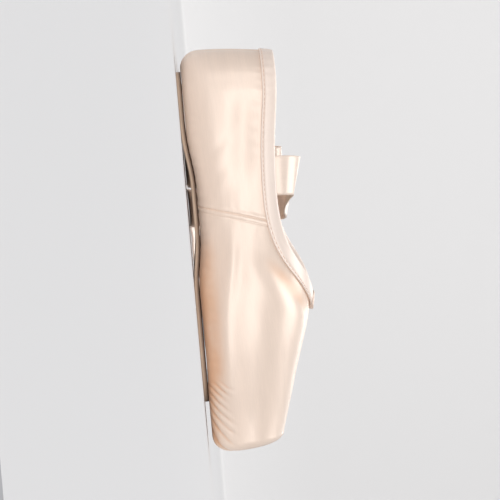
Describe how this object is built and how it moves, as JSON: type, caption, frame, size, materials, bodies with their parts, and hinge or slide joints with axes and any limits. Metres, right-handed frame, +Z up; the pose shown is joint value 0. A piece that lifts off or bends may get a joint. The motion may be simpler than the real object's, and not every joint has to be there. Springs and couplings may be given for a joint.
{
  "type": "pointe shoe",
  "caption": "Satin ballet pointe shoe with a stiff box, flat platform, low quarters with folded binding, thin waisted sole and loose ribbon ties.",
  "frame": {"origin": "on the floor under the middle of the shoe, ribbons left out", "axes": "+X from the heel to the toe, +Y to the shoe's left, +Z up"},
  "size_m": [0.2251, 0.3583, 0.0663],
  "materials": {
    "satin": "satin",
    "binding_satin": "satin",
    "ribbon_satin": "satin",
    "sole_leather": "matte",
    "insole_cloth": "matte"
  },
  "bodies": {
    "root": {"outsole": "sole_leather", "upper": "satin", "insole": "insole_cloth", "binding": "binding_satin", "ribbon_right": "ribbon_satin", "ribbon_left": "ribbon_satin"}
  },
  "joints": []
}
